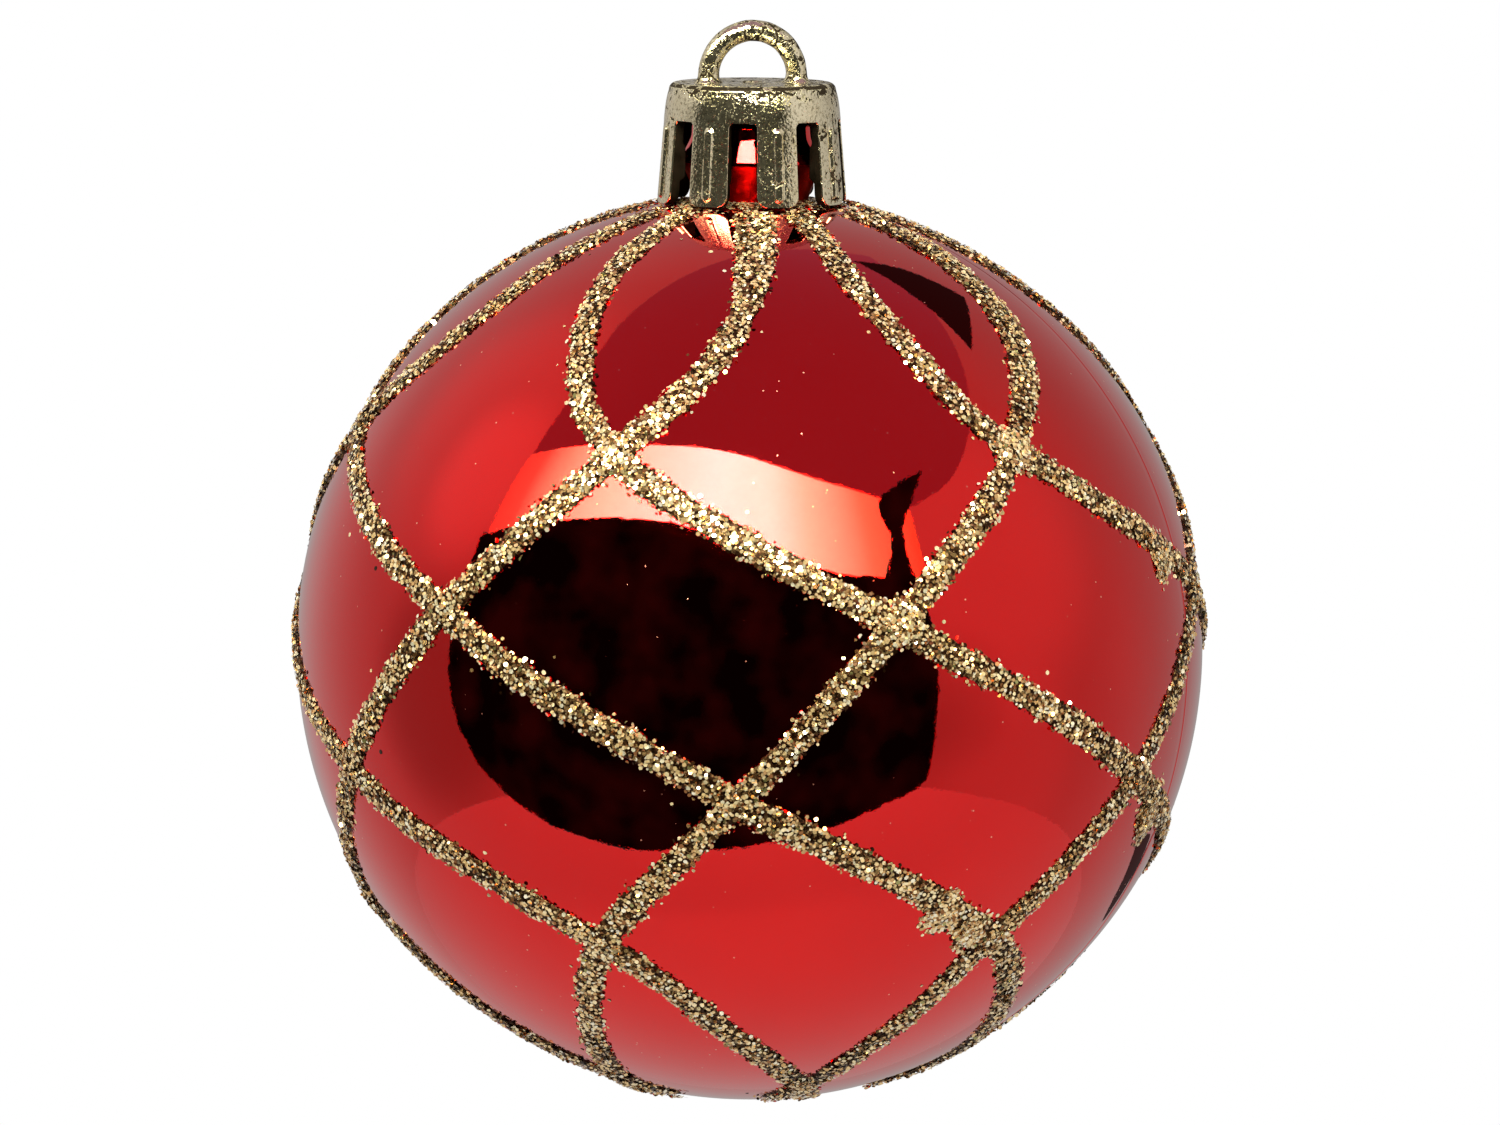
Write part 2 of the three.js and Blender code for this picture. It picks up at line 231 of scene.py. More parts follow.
def direction(latitude, longitude):
    """Unit vectors for latitudes and longitudes in degrees."""
    lat, lon = np.radians(latitude), np.radians(longitude)
    return np.stack([np.cos(lat) * np.sin(lon), -np.cos(lat) * np.cos(lon), np.sin(lat)], -1)


def smoothstep(x, low, high):
    t = np.clip((np.asarray(x, float) - low) / (high - low), 0, 1)
    return t * t * (3 - 2 * t)


def grid_faces(rows, columns, closed=True):
    """Quads of a grid of rows and columns, wound so that rows run up and columns run anticlockwise."""
    faces = []
    last = columns if closed else columns - 1
    for r in range(rows - 1):
        for c in range(last):
            d = (c + 1) % columns
            faces.append((r * columns + c, r * columns + d, (r + 1) * columns + d, (r + 1) * columns + c))
    return faces


def turned_points(profile, longitudes, radius_change=None):
    """Profile points (radius, z) turned about Z at each longitude: rows follow the profile."""
    lon = np.radians(np.asarray(longitudes, float))
    points = []
    for r, z in profile:
        radius = np.full(len(lon), r, float)
        if radius_change is not None:
            radius = radius + radius_change(r, z, longitudes)
        points.append(np.stack([radius * np.sin(lon), -radius * np.cos(lon), np.full(len(lon), z)], -1))
    return np.concatenate(points)


# ---------------------------------------------------------------- materials

class Nodes:
    """A short way of writing a material's node tree."""

    def __init__(self, name):
        self.material = bpy.data.materials.new(name)
        self.material.use_nodes = True
        self.tree = self.material.node_tree
        self.shader = self.tree.nodes["Principled BSDF"]
        self.place = self.add("ShaderNodeTexCoord").outputs["Object"]

    def add(self, kind, **settings):
        node = self.tree.nodes.new(kind)
        for key, value in settings.items():
            setattr(node, key, value)
        return node

    def link(self, source, target):
        self.tree.links.new(source, target)

    def set(self, **values):
        for key, value in values.items():
            self.shader.inputs[key.replace("_", " ")].default_value = value

    def noise(self, scale, detail=2.0, roughness=0.5, place=None, output="Fac"):
        node = self.add("ShaderNodeTexNoise")
        node.inputs["Scale"].default_value = scale
        node.inputs["Detail"].default_value = detail
        node.inputs["Roughness"].default_value = roughness
        self.link(place or self.place, node.inputs["Vector"])
        return node.outputs[output]

    def voronoi(self, scale, feature="F1", output="Distance", place=None):
        node = self.add("ShaderNodeTexVoronoi", feature=feature)
        node.inputs["Scale"].default_value = scale
        self.link(place or self.place, node.inputs["Vector"])
        return node.outputs[output]

    def span(self, value, from_low, from_high, to_low=0.0, to_high=1.0, smooth=True):
        node = self.add("ShaderNodeMapRange",
                        interpolation_type="SMOOTHSTEP" if smooth else "LINEAR")
        self.link(value, node.inputs["Value"])
        for key, number in (("From Min", from_low), ("From Max", from_high),
                            ("To Min", to_low), ("To Max", to_high)):
            node.inputs[key].default_value = number
        return node.outputs["Result"]

    def math(self, operation, a, b=None):
        node = self.add("ShaderNodeMath", operation=operation)
        for socket, value in zip(node.inputs, (a, b)):
            if value is None:
                continue
            if isinstance(value, (int, float)):
                socket.default_value = value
            else:
                self.link(value, socket)
        return node.outputs[0]

    def mix(self, share, a, b):
        """A colour between a and b. Each is a colour or a socket."""
        node = self.add("ShaderNodeMix", data_type="RGBA")
        self.link(share, node.inputs["Factor"])
        for key, value in (("A", a), ("B", b)):
            socket = [s for s in node.inputs if s.name == key and s.type == "RGBA"][0]
            if isinstance(value, tuple):
                socket.default_value = (*value, 1.0)
            else:
                self.link(value, socket)
        return [s for s in node.outputs if s.type == "RGBA"][0]

    def ramp(self, value, stops):
        node = self.add("ShaderNodeValToRGB")
        node.color_ramp.interpolation = "LINEAR"
        while len(node.color_ramp.elements) < len(stops):
            node.color_ramp.elements.new(0.5)
        for element, (at, colour) in zip(node.color_ramp.elements, stops):
            element.position = at
            element.color = (*colour, 1.0)
        self.link(value, node.inputs["Fac"])
        return node.outputs["Color"]

    def along(self, axis):
        """The surface point's place along X, Y or Z, in metres."""
        parts = self.add("ShaderNodeSeparateXYZ")
        self.link(self.place, parts.inputs[0])
        return parts.outputs[axis]

    def bump(self, height, distance, normal=None):
        node = self.add("ShaderNodeBump")
        node.inputs["Distance"].default_value = distance
        self.link(height, node.inputs["Height"])
        if normal is not None:
            self.link(normal, node.inputs["Normal"])
        return node.outputs["Normal"]


# The frosted foot of the neck, whose colour is also darkened there as painted shade under the cap, in
# metres, and the cap's top face
FOOT_TOP = (CENTRE_Z + 32.35) * MM
FOOT_BOTTOM = (CENTRE_Z + 29.15) * MM
CAP_FACE = CAP_TOP_Z * MM


def red_mirror():
    """Vacuum-coated plastic under clear red lacquer, with dust, haze, fine scratches and a frosted foot
    whose colour is darkened as painted shade under the cap.
    """
    n = Nodes("red_mirror_lacquer")
    depth = n.span(n.noise(55, 3), 0.3, 0.7)
    lacquer = n.mix(depth, (0.86, 0.0052, 0.0046), (0.93, 0.0072, 0.0056))
    gate = n.span(n.noise(210, 1), 0.52, 0.62)
    dust = n.math("MULTIPLY", n.span(n.voronoi(1150), 0.05, 0.085, 1.0, 0.0), gate)
    up = n.along("Z")
    level = n.add("ShaderNodeVectorMath", operation="MULTIPLY")
    level.inputs[1].default_value = (1, 1, 0)
    n.link(n.place, level.inputs[0])
    from_axis = n.add("ShaderNodeVectorMath", operation="LENGTH")
    n.link(level.outputs[0], from_axis.inputs[0])
    foot = n.math("MULTIPLY", n.span(from_axis.outputs["Value"], 0.0050, 0.0058, 1.0, 0.0),
                  n.span(up, FOOT_TOP - 0.0002, FOOT_TOP, 1.0, 0.0))
    foot = n.math("MULTIPLY", foot, n.span(up, FOOT_BOTTOM, FOOT_BOTTOM + 0.0003))
    # Painted shade: the foot under the cap turns near-black red.
    shaded_foot = n.mix(foot, lacquer, (0.22, 0.001, 0.001))
    n.link(n.mix(dust, shaded_foot, (0.95, 0.42, 0.3)), n.shader.inputs["Base Color"])
    haze = n.span(n.noise(130, 4, 0.6), 0.35, 0.75, 0.012, 0.035)
    frosted = n.math("MULTIPLY", foot, n.span(n.noise(1400, 3), 0.35, 0.65, 0.3, 0.48))
    dull = n.math("ADD", n.math("MULTIPLY", dust, 0.4), frosted)
    n.link(n.math("ADD", haze, dull), n.shader.inputs["Roughness"])
    n.link(n.span(foot, 0, 1, 0.55, 0.0, False), n.shader.inputs["Coat Weight"])
    n.link(n.mix(foot, (1.0, 1.0, 1.0), (1.0, 0.6, 0.55)), n.shader.inputs["Specular Tint"])
    stretch = n.add("ShaderNodeMapping")
    stretch.inputs["Scale"].default_value = (1.0, 1.0, 0.16)
    stretch.inputs["Rotation"].default_value = (0.5, 0.3, 0.0)
    n.link(n.place, stretch.inputs["Vector"])
    scratch = n.span(n.noise(900, 2, 0.5, stretch.outputs["Vector"]), 0.6, 0.75)
    wavy = n.bump(n.noise(42, 2), 5e-5)
    grain = n.bump(n.noise(1500, 3, 0.62), 3e-6, wavy)
    n.link(n.bump(scratch, 6e-7, grain), n.shader.inputs["Normal"])
    n.set(Metallic=1.0, Coat_Roughness=0.02, Coat_IOR=1.5)
    return n.material


def champagne_gold():
    """Thin metal coat on moulded plastic: grainy, rubbed through in specks and fine cracks, with a broken
    dark line along the disc's top edge that is a painted dark reflection.
    """
    n = Nodes("champagne_gold_cap")
    tone = n.span(n.noise(420, 4, 0.6), 0.3, 0.7)
    clean = n.mix(tone, (0.84, 0.73, 0.48), (0.96, 0.87, 0.62))
    mottle = n.span(n.noise(5200, 2, 0.6), 0.34, 0.5, 0.75, 0.0)
    metal = n.mix(mottle, clean, (0.3, 0.25, 0.14))
    up = n.along("Z")
    rim = n.math("MULTIPLY", n.span(up, CAP_FACE - 0.0015, CAP_FACE - 0.0004), 0.16)
    flank = n.math("MULTIPLY", n.span(n.along("X"), 0.0024, 0.0050), 0.13)
    zone = n.math("ADD", rim, flank)
    patches = n.math("ADD", n.noise(620, 3, 0.6), zone)
    warp = n.add("ShaderNodeVectorMath", operation="SCALE")
    n.link(n.noise(2600, 2, 0.6, output="Color"), warp.inputs[0])
    warp.inputs["Scale"].default_value = 0.0005
    shifted = n.add("ShaderNodeVectorMath", operation="ADD")
    n.link(n.place, shifted.inputs[0])
    n.link(warp.outputs[0], shifted.inputs[1])
    cells = n.voronoi(950, "DISTANCE_TO_EDGE", place=shifted.outputs[0])
    cracks = n.span(cells, 0.05, 0.11, 1.0, 0.0)
    lines = n.math("MULTIPLY", cracks, n.span(patches, 0.605, 0.645))
    pits = n.span(n.math("ADD", n.noise(2100, 3, 0.65), n.math("MULTIPLY", zone, 0.8)), 0.71, 0.75)
    # Painted dark reflection: a broken dark band on the disc's rounded top edge, added to the wear marks.
    corner = n.math("MULTIPLY", n.span(up, CAP_FACE - 0.00032, CAP_FACE - 0.00024),
                    n.span(up, CAP_FACE - 0.00005, CAP_FACE, 1.0, 0.0))
    painted_edge_line = n.math("MULTIPLY", corner, n.span(n.noise(900, 3), 0.36, 0.44))
    wear_and_painted_edge = n.math("MAXIMUM", n.math("MAXIMUM", lines, pits), painted_edge_line)
    n.link(n.mix(wear_and_painted_edge, metal, (0.022, 0.016, 0.01)), n.shader.inputs["Base Color"])
    n.link(n.span(wear_and_painted_edge, 0, 1, 0.98, 0.2, False), n.shader.inputs["Metallic"])
    rough = n.span(n.noise(900, 3, 0.6), 0.3, 0.7, 0.07, 0.12)
    below_loop = n.span(up, CAP_FACE, CAP_FACE + 0.0007, 1.0, 0.3)
    specks = n.math("MULTIPLY", n.span(n.noise(6200, 2, 0.6), 0.56, 0.66, 0.0, 0.19), below_loop)
    duller = n.math("MAXIMUM", specks, n.math("MULTIPLY", wear_and_painted_edge, 0.4))
    n.link(n.math("ADD", rough, duller), n.shader.inputs["Roughness"])
    n.link(n.span(wear_and_painted_edge, 0, 1, 0.5, 0.02, False), n.shader.inputs["Specular IOR Level"])
    swell = n.bump(n.noise(520, 2), 1.5e-5)
    ripple = n.bump(n.noise(2000, 2), 0.8e-5, swell)
    grain = n.bump(n.noise(5400, 1), 2.6e-5, ripple)
    n.link(n.bump(n.math("SUBTRACT", 1.0, wear_and_painted_edge), 1.5e-5, grain), n.shader.inputs["Normal"])
    return n.material


def glue_and_glitter():
    """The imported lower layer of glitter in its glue, seen between the loose flakes on top."""
    n = Nodes("glitter_bed")
    cell = n.voronoi(4700, output="Color")
    parts = n.add("ShaderNodeSeparateColor")
    n.link(cell, parts.inputs[0])
    tone = n.ramp(parts.outputs[0], (
        (0.0, (0.01, 0.003, 0.001)), (0.35, (0.03, 0.012, 0.004)), (0.6, (0.09, 0.048, 0.018)),
        (0.85, (0.3, 0.2, 0.08)), (1.0, (0.6, 0.46, 0.24))))
    seam = n.span(n.voronoi(4700, "DISTANCE_TO_EDGE"), 0.02, 0.1, 1.0, 0.0)
    n.link(n.mix(seam, tone, (0.05, 0.012, 0.004)), n.shader.inputs["Base Color"])
    n.link(n.span(parts.outputs[1], 0, 1, 0.18, 0.55, False), n.shader.inputs["Roughness"])
    tilt = n.math("ADD", n.math("MULTIPLY", parts.outputs[2], 0.8), n.noise(9000, 1))
    n.link(n.bump(tilt, 4.5e-5), n.shader.inputs["Normal"])
    n.set(Metallic=0.85)
    return n.material


# Each sort of flake: its linear colour, metal share and roughness, and how many of a hundred are of that
# sort among the flakes on top and among those lying deeper. The deeper mix leans to the dark sorts as
# painted shade.
FLAKE_SORTS = (
    ("bronze_dark", (0.045, 0.018, 0.006), 0.9, 0.25, 5, 36),
    ("bronze", (0.38, 0.165, 0.06), 0.94, 0.14, 10, 28),
    ("old_gold", (0.7, 0.43, 0.185), 0.88, 0.1, 20, 19),
    ("gold", (0.93, 0.665, 0.34), 0.72, 0.08, 27, 10),
    ("pale_gold", (1.0, 0.81, 0.5), 0.7, 0.07, 24, 4),
    ("champagne", (1.0, 0.91, 0.71), 0.72, 0.06, 12, 1),
    ("olive", (0.38, 0.35, 0.14), 0.85, 0.15, 2, 2),
)


def flake_materials():
    made = []
    for name, colour, metallic, roughness, _, _ in FLAKE_SORTS:
        n = Nodes("glitter_" + name)
        n.set(Base_Color=(*colour, 1.0), Metallic=metallic, Roughness=roughness)
        made.append(n.material)
    return made


def cap_inside_shade():
    """The inside of the cap, near black and without shine: painted shade in the cap's hollow."""
    n = Nodes("cap_inside_painted_shade")
    shade = n.span(n.noise(700, 3), 0.3, 0.7)
    n.link(n.mix(shade, (0.003, 0.0024, 0.0014), (0.011, 0.008, 0.005)), n.shader.inputs["Base Color"])
    n.link(n.span(n.noise(1500, 2), 0.3, 0.7, 0.4, 0.6), n.shader.inputs["Roughness"])
    n.link(n.bump(n.noise(3000, 3), 1e-5), n.shader.inputs["Normal"])
    n.set(Specular_IOR_Level=0.0)
    return n.material


RED = red_mirror()
GOLD = champagne_gold()
INSIDE_SHADE = cap_inside_shade()
BED = glue_and_glitter()
FLAKES = flake_materials()


# ---------------------------------------------------------------- ball

def ball():
    """The hollow ball with its barbed neck, one turned shell that is open at the mouth."""
    edge_rise = math.degrees(math.acos(NECK_PROFILE[0][0] / BALL_RADIUS))
    inner = BALL_RADIUS - BALL_WALL
    bore_rise = math.degrees(math.acos(NECK_BORE_RADIUS / inner))
    outer = [(BALL_RADIUS * math.cos(math.radians(a)), CENTRE_Z + BALL_RADIUS * math.sin(math.radians(a)))
             for a in np.linspace(-89.6, edge_rise, BALL_RISE_STEPS)]
    neck = [(r, CENTRE_Z + z) for r, z in NECK_PROFILE[1:]]
    inside = [(inner * math.cos(math.radians(a)), CENTRE_Z + inner * math.sin(math.radians(a)))
              for a in np.linspace(bore_rise, -89, BALL_INSIDE_STEPS)]
    even = [a for a in np.arange(0, 360, BALL_TURN_STEP)
            if min(abs((a - PARTING_LONGITUDE) % 180), abs((PARTING_LONGITUDE - a) % 180)) > 1.3]
    seams = [(PARTING_LONGITUDE + 180 * half + o) % 360 for half in (0, 1) for o in PARTING_OFFSETS]
    longitudes = np.array(sorted(even + seams))

    def seam(radius, z, lon):
        away = np.abs((lon - PARTING_LONGITUDE + 90) % 180 - 90)
        ridge = PARTING_HEIGHT * np.exp(-((away / PARTING_WIDTH) ** 2))
        dip = DIP_DEPTH * np.exp(-(((away - DIP_OFFSET) / DIP_WIDTH) ** 2))
        outside = abs(math.hypot(radius, z - CENTRE_Z) - BALL_RADIUS) < 0.01
        return (ridge - dip) * (1.0 if outside else 0.0)

    profile = outer + neck + inside
    points = turned_points(profile, longitudes, seam)
    columns = len(longitudes)
    faces = grid_faces(len(profile), columns)
    bottom, top = len(points), len(points) + 1
    points = np.vstack([points, [[0, 0, CENTRE_Z - BALL_RADIUS], [0, 0, CENTRE_Z - inner]]])
    last = (len(profile) - 1) * columns
    for c in range(columns):
        d = (c + 1) % columns
        faces.append((bottom, d, c))
        faces.append((top, last + c, last + d))
    piece = mesh_piece("ball", points, faces, [RED], sharp_angle=50)
    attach(piece, "ball")
    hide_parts("ball_shell")


# ---------------------------------------------------------------- cap

def cap_radius(z):
    cone_top = CAP_TOP_Z - CAP_EDGE_RADIUS
    share = (cone_top - z) / (cone_top - FINGER_TIP_Z)
    return CAP_TOP_RADIUS + (CAP_TIP_RADIUS - CAP_TOP_RADIUS) * share


def finger_turns():
    return [FIRST_FINGER_TURN + 360 / FINGER_COUNT * i for i in range(FINGER_COUNT)]


def crown():
    """Disc and rim. Under each finger the rim ends square, and between fingers its edge is rounded."""
    underside = CAP_TOP_Z - DISC_THICKNESS
    rim = cap_radius(FINGER_ROOT_Z)
    b = EDGE_BEVEL
    root = FINGER_ROOT_Z
    outer, inner = cap_radius(root + b), cap_radius(root + b) - CAP_WALL
    square = [(inner, root + b), (rim - CAP_WALL, root + b / 2), (rim - CAP_WALL, root),
              (rim, root), (rim, root + b / 2), (outer, root + b)]
    rounded = [(inner, root + b), (rim - CAP_WALL + 0.3 * b, root + 0.3 * b),
               (rim - CAP_WALL + b, root), (rim - b, root), (rim - 0.3 * b, root + 0.3 * b),
               (outer, root + b)]
    bore = cap_radius(underside) - CAP_WALL
    start = [(0.05, underside), (3.0, underside), (bore - 0.3, underside),
             (bore - 0.09, underside - 0.06), (bore, underside - 0.3),
             (cap_radius(root + 0.6) - CAP_WALL, root + 0.6)]
    cone_top = CAP_TOP_Z - CAP_EDGE_RADIUS
    wall = [(cap_radius(z) - SHOULDER * ((z - root) / (cone_top - root)) ** 3, z)
            for z in np.linspace(root + 0.25, cone_top, 12)]
    edge = [(CAP_TOP_RADIUS - SHOULDER - CAP_EDGE_RADIUS + CAP_EDGE_RADIUS * math.cos(math.radians(a)),
             cone_top + CAP_EDGE_RADIUS * math.sin(math.radians(a)))
            for a in np.linspace(14, 90, 10)]
    disc = [(r, CAP_TOP_Z) for r in (4.9, 4.7, 4.2, 3.6, 3.0, 2.4, 1.8, 1.2, 0.8)]
    gate = [(0.7, CAP_TOP_Z + 0.01), (0.64, CAP_TOP_Z + 0.05), (0.56, CAP_TOP_Z + 0.1),
            (0.45, CAP_TOP_Z + 0.12), (0.2, CAP_TOP_Z + 0.11), (0.02, CAP_TOP_Z + 0.1)]
    longitudes = np.arange(0, 360, CAP_TURN_STEP)
    half = math.degrees(FINGER_HALF_WIDTH / rim) + 1.2
    turn_gap = 360 / FINGER_COUNT
    away = np.abs((longitudes - FIRST_FINGER_TURN + turn_gap / 2) % turn_gap - turn_gap / 2)
    under_finger = away < half
    rest = wall + edge + disc + gate
    rows = list(zip(start + square + rest, start + rounded + rest))
    lon = np.radians(longitudes)
    points = []
    for at_finger, at_slot in rows:
        radius = np.where(under_finger, at_finger[0], at_slot[0])
        height = np.where(under_finger, at_finger[1], at_slot[1])
        if abs(at_finger[1] - CAP_TOP_Z) < 0.001 and at_finger[0] > 0.9:
            wave = np.array([noise.noise((r * math.sin(t) * 0.6, r * math.cos(t) * 0.6, 3.0))
                             for r, t in zip(radius, lon)])
            height = height + DISC_WAVE * wave * smoothstep(radius, 5.2, 4.4)
        points.append(np.stack([radius * np.sin(lon), -radius * np.cos(lon), height], -1))
    points = np.concatenate(points)
    faces = grid_faces(len(rows), len(longitudes))
    inside = (len(start) + 1) * len(longitudes)
    points, faces = add_loop(points, faces)
    # Faces inside the rim and under the disc take the near-black painted shade.
    in_shade = [1 if k < inside else 0 for k in range(len(faces))]
    piece = mesh_piece("crown_and_loop", points, faces, [GOLD, INSIDE_SHADE], in_shade, sharp_angle=42)
    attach(piece, "cap")
    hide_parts("cap_crown")


def add_loop(points, faces):
    """The loop: a half ring on two legs that flare where they meet the disc."""
    leg = np.linspace(CAP_TOP_Z - LOOP_ROOT_DEPTH, LOOP_CENTRE_Z, LOOP_LEG_STEPS)[:-1]
    path = [(-LOOP_RADIUS, z) for z in leg]
    along = [(0.0, 1.0)] * len(leg)
    for a in np.linspace(180, 0, LOOP_ARC_STEPS + 1):
        t = math.radians(a)
        path.append((LOOP_RADIUS * math.cos(t), LOOP_CENTRE_Z + LOOP_RADIUS * math.sin(t)))
        along.append((math.sin(t), -math.cos(t)))
    path += [(LOOP_RADIUS, z) for z in leg[::-1]]
    along += [(0.0, -1.0)] * len(leg)
    ring = []
    for (x, z), (tx, tz) in zip(path, along):
        above = z - CAP_TOP_Z
        bar = LOOP_BAR + LOOP_ROOT_FLARE * math.exp(-max(above, 0) / LOOP_ROOT_FLARE_HEIGHT)
        out = (-tz, tx)
        for s in range(LOOP_SIDES):
            a = 2 * math.pi * s / LOOP_SIDES
            lump = noise.noise((x * 1.3 + math.cos(a), z * 1.3, math.sin(a) * 1.1)) * 0.02
            witness = 0.022 * math.exp(-((math.sin(a) / 0.12) ** 2)) if math.cos(a) > 0 else 0.0
            r = bar + lump + witness
            ring.append((x + out[0] * r * math.cos(a), r * math.sin(a), z + out[1] * r * math.cos(a)))
    first = len(points)
    loop_faces = [tuple(first + i for i in f) for f in grid_faces(len(path), LOOP_SIDES)]
    return np.vstack([points, ring]), faces + [f[::-1] for f in loop_faces]


def finger_half_width(z):
    """Half of a finger's width: a fillet into the crown at the top and round corners at the tip."""
    share = (FINGER_ROOT_Z - z) / (FINGER_ROOT_Z - FINGER_TIP_Z)
    half = FINGER_HALF_WIDTH + (FINGER_TIP_HALF_WIDTH - FINGER_HALF_WIDTH) * share
    down = FINGER_ROOT_Z - z
    if down < SLOT_FILLET:
        half += SLOT_FILLET - math.sqrt(SLOT_FILLET ** 2 - (SLOT_FILLET - down) ** 2)
    up = z - FINGER_TIP_Z
    if up < FINGER_CORNER:
        half -= FINGER_CORNER - math.sqrt(max(FINGER_CORNER ** 2 - (FINGER_CORNER - up) ** 2, 0))
    return half


def rib_rise(u, z):
    """Height of the rib at sideways distance u and height z: a bar with round ends and soft edges."""
    nearest = min(max(z, RIB_BOTTOM_Z), RIB_TOP_Z - RIB_HALF_WIDTH)
    away = math.hypot(u, z - nearest)
    crest = 1 - smoothstep(away, RIB_HALF_WIDTH - 0.11, RIB_HALF_WIDTH + 0.03)
    return RIB_HEIGHT * float(crest)


def inner_radius(z):
    plain = cap_radius(z) - CAP_WALL
    grip = float(smoothstep(z, GRIP_BOTTOM_Z - GRIP_SLOPE, GRIP_BOTTOM_Z)
                 * (1 - smoothstep(z, GRIP_TOP_Z, GRIP_TOP_Z + GRIP_SLOPE)))
    return plain + (GRIP_RADIUS - plain) * grip


def bevel(half, radius, side, outward, angles):
    """A finger's rounded corner, as (sideways, radius) points. The face beside it is at the radius."""
    b = EDGE_BEVEL
    arc = [math.radians(a) for a in angles]
    return [(side * (half - b + b * math.sin(t)), radius + outward * (b * math.cos(t) - b)) for t in arc]


def finger_section(z, inset):
    """A finger's cross-section at height z, drawn in by the inset, as (sideways, radius) points."""
    b = EDGE_BEVEL
    rising, falling = BEVEL_ANGLES, BEVEL_ANGLES[::-1]
    half = max(finger_half_width(z), FINGER_LEAST_HALF_WIDTH) - inset
    outer, inner = cap_radius(z) - inset, inner_radius(z) + inset
    loop = [(u, outer + rib_rise(u, z)) for u in np.linspace(b - half, half - b, FINGER_FACE_POINTS)]
    loop += bevel(half, outer, 1, 1, rising)
    loop += [(half, outer - b), (half, inner + b)]
    loop += bevel(half, inner, 1, -1, falling)
    loop += [(u, inner) for u in np.linspace(half - b, b - half, FINGER_BACK_POINTS)]
    loop += bevel(half, inner, -1, -1, rising)
    loop += [(-half, inner + b), (-half, outer - b)]
    loop += bevel(half, outer, -1, 1, falling)
    return loop


def finger(index, turn):
    """A lofted wall with round edges, closed at its tip."""
    quarter = math.pi / 2
    fillet_end, corner_start = FINGER_ROOT_Z - SLOT_FILLET, FINGER_TIP_Z + FINGER_CORNER
    heights = list(FINGER_ROOT_Z - SLOT_FILLET * (1 - np.cos(np.linspace(0, quarter, 9))))
    heights += list(np.linspace(fillet_end, corner_start, 42)[1:])
    heights += list(FINGER_TIP_Z + FINGER_CORNER * (1 - np.sin(np.linspace(0, quarter, 16)))[1:-1])
    rows = [(z, 0.0) for z in heights]
    rows += [(FINGER_TIP_Z + EDGE_BEVEL * (1 - math.sin(a)), EDGE_BEVEL * (1 - math.cos(a)))
             for a in np.linspace(0.25, quarter, 6)]
    points = []
    for z, inset in rows:
        for u, r in finger_section(z, inset):
            lon = math.radians(turn) + u / cap_radius(z)
            points.append((r * math.sin(lon), -r * math.cos(lon), z))
    columns = len(points) // len(rows)
    faces = [f[::-1] for f in grid_faces(len(rows), columns)]
    last = (len(rows) - 1) * columns
    faces.append(tuple(last + c for c in range(columns)))
    first = FINGER_FACE_POINTS + len(BEVEL_ANGLES)
    final = first + FINGER_BACK_POINTS + 9
    # The finger's sides and inner face take the near-black painted shade.
    in_shade = [1 if first <= k % columns < final else 0 for k in range(len(faces) - 1)] + [0]
    piece = mesh_piece(f"finger_{index}", points, faces, [GOLD, INSIDE_SHADE], in_shade, sharp_angle=42)
    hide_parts(f"cap_finger_{index}")
    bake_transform(piece)


# ---------------------------------------------------------------- glitter

def spline(knots, steps):
    """The CAD's Catmull-Rom line through its knots, as latitudes and longitudes."""
    k = np.array(knots, float)
    out = []
    for t in np.linspace(0, len(k) - 1, steps):
        i = min(int(t), len(k) - 2)
        f = t - i
        p0, p1, p2, p3 = k[max(i - 1, 0)], k[i], k[i + 1], k[min(i + 2, len(k) - 1)]
        v0, v1 = (p2 - p0) / 2, (p3 - p1) / 2
        out.append((2 * p1 - 2 * p2 + v0 + v1) * f ** 3 + (-3 * p1 + 3 * p2 - 2 * v0 - v1) * f ** 2
                   + v0 * f + p1)
    return np.array(out)


def line_path(knots, turn, steps=900):
    """Directions along a line, the distance run so far and the direction across the line."""
    spots = spline(knots, steps)
    d = direction(spots[:, 0], spots[:, 1] + turn)
    step = np.linalg.norm(np.diff(d, axis=0), axis=1) * BALL_RADIUS
    run = np.concatenate([[0], np.cumsum(step)])
    tangent = np.gradient(d, axis=0)
    tangent /= np.linalg.norm(tangent, axis=1)[:, None]
    across = np.cross(d, tangent)
    across /= np.linalg.norm(across, axis=1)[:, None]
    return d, run, across


def wobble(run, seed, wave):
    """Smooth noise from -1 to 1 along a line."""
    return np.array([noise.noise((x / wave, seed * 7.3, 0.5)) for x in run])


def along_line(run, line_run, values):
    """Vectors known along a line, read off at other distances."""
    return np.stack([np.interp(run, line_run, values[:, k]) for k in range(3)], -1)


class Line:
    """One glitter line: its path over the ball, its half width and its wander to the side."""

    def __init__(self, kind, index, knots):
        self.name = f"{kind}{index + 1}"
        self.kind = kind
        turn = FIRST_LINE_TURN + 360 / LINES_EACH_WAY * index
        self.d, self.run, self.across = line_path(knots, turn)
        seed = index + (0 if kind == "a" else 50)
        width = wobble(self.run, seed, 3.1) * 0.14 + wobble(self.run, seed + 9, 0.8) * 0.16
        extra, fades_from, gone_at = WIDE_STARTS.get(self.name, (0.0, 1, 2))
        start = extra * (1 - smoothstep(self.run, fades_from, gone_at))
        self.half = LINE_HALF_WIDTH * (1 + width + start)
        self.shift = wobble(self.run, seed + 21, 4.0) * 0.12

    def at(self, run):
        """Direction, across, half width and sideways shift at a distance along the line."""
        d = along_line(run, self.run, self.d)
        d /= np.linalg.norm(d, axis=1)[:, None]
        across = along_line(run, self.run, self.across)
        return d, across, np.interp(run, self.run, self.half), np.interp(run, self.run, self.shift)


